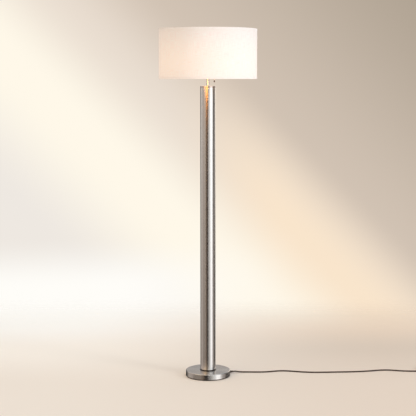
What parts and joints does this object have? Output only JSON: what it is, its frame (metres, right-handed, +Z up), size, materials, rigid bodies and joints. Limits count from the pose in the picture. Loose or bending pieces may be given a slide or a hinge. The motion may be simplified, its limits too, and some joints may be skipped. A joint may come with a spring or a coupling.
{
  "type": "column floor lamp",
  "caption": "Floor lamp with a thick round metal column on a disc base, a drum shade on a harp, a pull-chain socket and a supply lead with a plug.",
  "frame": {"origin": "centre of the base's underside, on the floor", "axes": "+Z up along the column, +X to the right and -Y to the front as seen in the picture"},
  "size_m": [1.3636, 0.457, 1.642],
  "materials": {
    "felt": "dense wool felt, matt",
    "iron": "rough cast iron, painted dark",
    "nickel": "brushed nickel over steel, fine brush lines",
    "brass": "plain turned brass",
    "zinc": "bright zinc plated steel",
    "core": "soft insulation of the inner cores",
    "phenolic": "dark moulded insulator",
    "liner": "fibre paper insulation",
    "chain": "nickel plated bead chain",
    "ball": "dark bronze ball",
    "bulb_glass": "frosted warm white glass, lit",
    "bulb_metal": "thin rolled screw shell",
    "wire": "white lacquered steel wire",
    "linen": "off-white linen over a stiff white lining",
    "trim": "folded linen tape",
    "lead": "brown flexible sheath, faint sheen",
    "tie": "black tape",
    "blade": "nickel plated brass blades"
  },
  "bodies": {
    "stand": {"felt_pad": "felt", "base_weight": "iron", "base_cover": "nickel", "rod_washer": "zinc", "rod_nut": "zinc", "column_seat": "zinc", "column_tube": "nickel", "column_cap": "nickel", "threaded_rod": "zinc", "inner_lead": "core", "neck_tube": "nickel", "harp_saddle": "nickel", "saddle_nut": "zinc", "socket_cap": "nickel", "socket_shell": "nickel", "socket_liner": "liner", "switch_body": "phenolic", "terminal_screws": "brass", "screw_shell": "brass", "centre_contact": "brass", "chain_guide": "nickel", "bulb_base": "bulb_metal", "bulb_glass": "bulb_glass", "harp": "nickel", "harp_sleeves": "nickel", "finial_stud": "zinc", "finial": "nickel", "cord_bushing": "lead", "supply_cord": "lead", "cord_coil": "lead", "cord_tie": "tie", "plug_body": "lead", "plug_blades": "blade"},
    "chain": {"pull_chain": "chain", "chain_ball": "ball"},
    "shade": {"spider": "wire", "bottom_ring": "wire", "shade_fabric": "linen", "top_trim": "trim", "bottom_trim": "trim"}
  },
  "joints": [
    {"name": "chain_pull", "type": "slide", "parent": "stand", "child": "chain", "axis": [0, 0, -1], "range_m": [0, 0.008], "stiffness_N_per_m": 400},
    {"name": "shade_turn", "type": "hinge", "parent": "stand", "child": "shade", "pos_m": [0, 0, 1.616], "axis": [0, 0, 1], "continuous": true}
  ]
}
